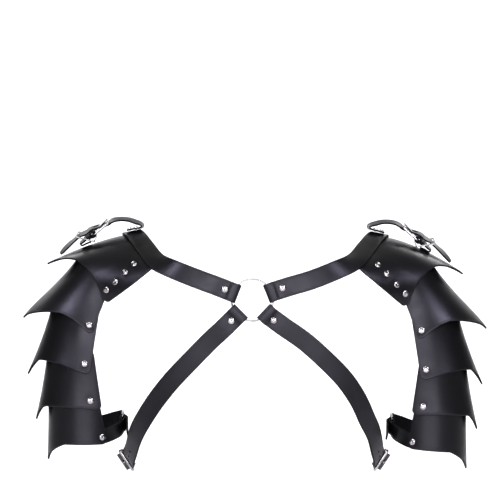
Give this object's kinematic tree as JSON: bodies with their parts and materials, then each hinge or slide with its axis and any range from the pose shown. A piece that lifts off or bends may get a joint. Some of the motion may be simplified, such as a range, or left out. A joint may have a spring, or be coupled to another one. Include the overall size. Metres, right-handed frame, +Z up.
{
  "type": "pauldron harness",
  "caption": "Black leather shoulder armour of overlapping bat-winged plates, joined across chest and back by straps at steel rings, with buckles on straps at shoulder, side and arm.",
  "frame": {"origin": "midway between the two shoulders, at the height where the shoulder straps rest on them", "axes": "+Z up, wearer faces -Y, +X towards the wearer's left shoulder"},
  "size_m": [0.6295, 0.2268, 0.3446],
  "materials": {
    "plate_leather": "satin smooth black leather",
    "strap_leather": "satin smooth black leather",
    "rivet_nickel": "polished nickel",
    "buckle_nickel": "polished nickel"
  },
  "bodies": {
    "root": {"shoulder_strap_left": "strap_leather", "lower_front_strap_left": "strap_leather", "lower_back_strap_left": "strap_leather", "narrow_strap_left": "strap_leather", "buckle_chape_left": "strap_leather", "arm_strap_front_left": "strap_leather", "arm_strap_back_left": "strap_leather", "plate_1_left": "plate_leather", "plate_2_left": "plate_leather", "plate_3_left": "plate_leather", "plate_4_left": "plate_leather", "plate_5_left": "plate_leather", "shoulder_strap_right": "strap_leather", "lower_front_strap_right": "strap_leather", "lower_back_strap_right": "strap_leather", "narrow_strap_right": "strap_leather", "buckle_chape_right": "strap_leather", "arm_strap_front_right": "strap_leather", "arm_strap_back_right": "strap_leather", "plate_1_right": "plate_leather", "plate_2_right": "plate_leather", "plate_3_right": "plate_leather", "plate_4_right": "plate_leather", "plate_5_right": "plate_leather", "front_ring": "buckle_nickel", "back_ring": "buckle_nickel", "ring_rivet_upper_left": "rivet_nickel", "ring_rivet_lower_left": "rivet_nickel", "side_buckle_frame_left": "buckle_nickel", "side_buckle_prong_left": "buckle_nickel", "shoulder_buckle_frame_left": "buckle_nickel", "shoulder_buckle_prong_left": "buckle_nickel", "strap_keeper_left": "buckle_nickel", "arm_buckle_frame_left": "buckle_nickel", "arm_buckle_prong_left": "buckle_nickel", "plate_1_rivet_1_left": "rivet_nickel", "plate_1_rivet_2_left": "rivet_nickel", "plate_1_rivet_3_left": "rivet_nickel", "plate_1_rivet_4_left": "rivet_nickel", "plate_2_rivet_left": "rivet_nickel", "plate_3_rivet_left": "rivet_nickel", "plate_4_rivet_left": "rivet_nickel", "plate_5_rivet_left": "rivet_nickel", "ring_rivet_upper_right": "rivet_nickel", "ring_rivet_lower_right": "rivet_nickel", "side_buckle_frame_right": "buckle_nickel", "side_buckle_prong_right": "buckle_nickel", "shoulder_buckle_frame_right": "buckle_nickel", "shoulder_buckle_prong_right": "buckle_nickel", "strap_keeper_right": "buckle_nickel", "arm_buckle_frame_right": "buckle_nickel", "arm_buckle_prong_right": "buckle_nickel", "plate_1_rivet_1_right": "rivet_nickel", "plate_1_rivet_2_right": "rivet_nickel", "plate_1_rivet_3_right": "rivet_nickel", "plate_1_rivet_4_right": "rivet_nickel", "plate_2_rivet_right": "rivet_nickel", "plate_3_rivet_right": "rivet_nickel", "plate_4_rivet_right": "rivet_nickel", "plate_5_rivet_right": "rivet_nickel"}
  },
  "joints": []
}
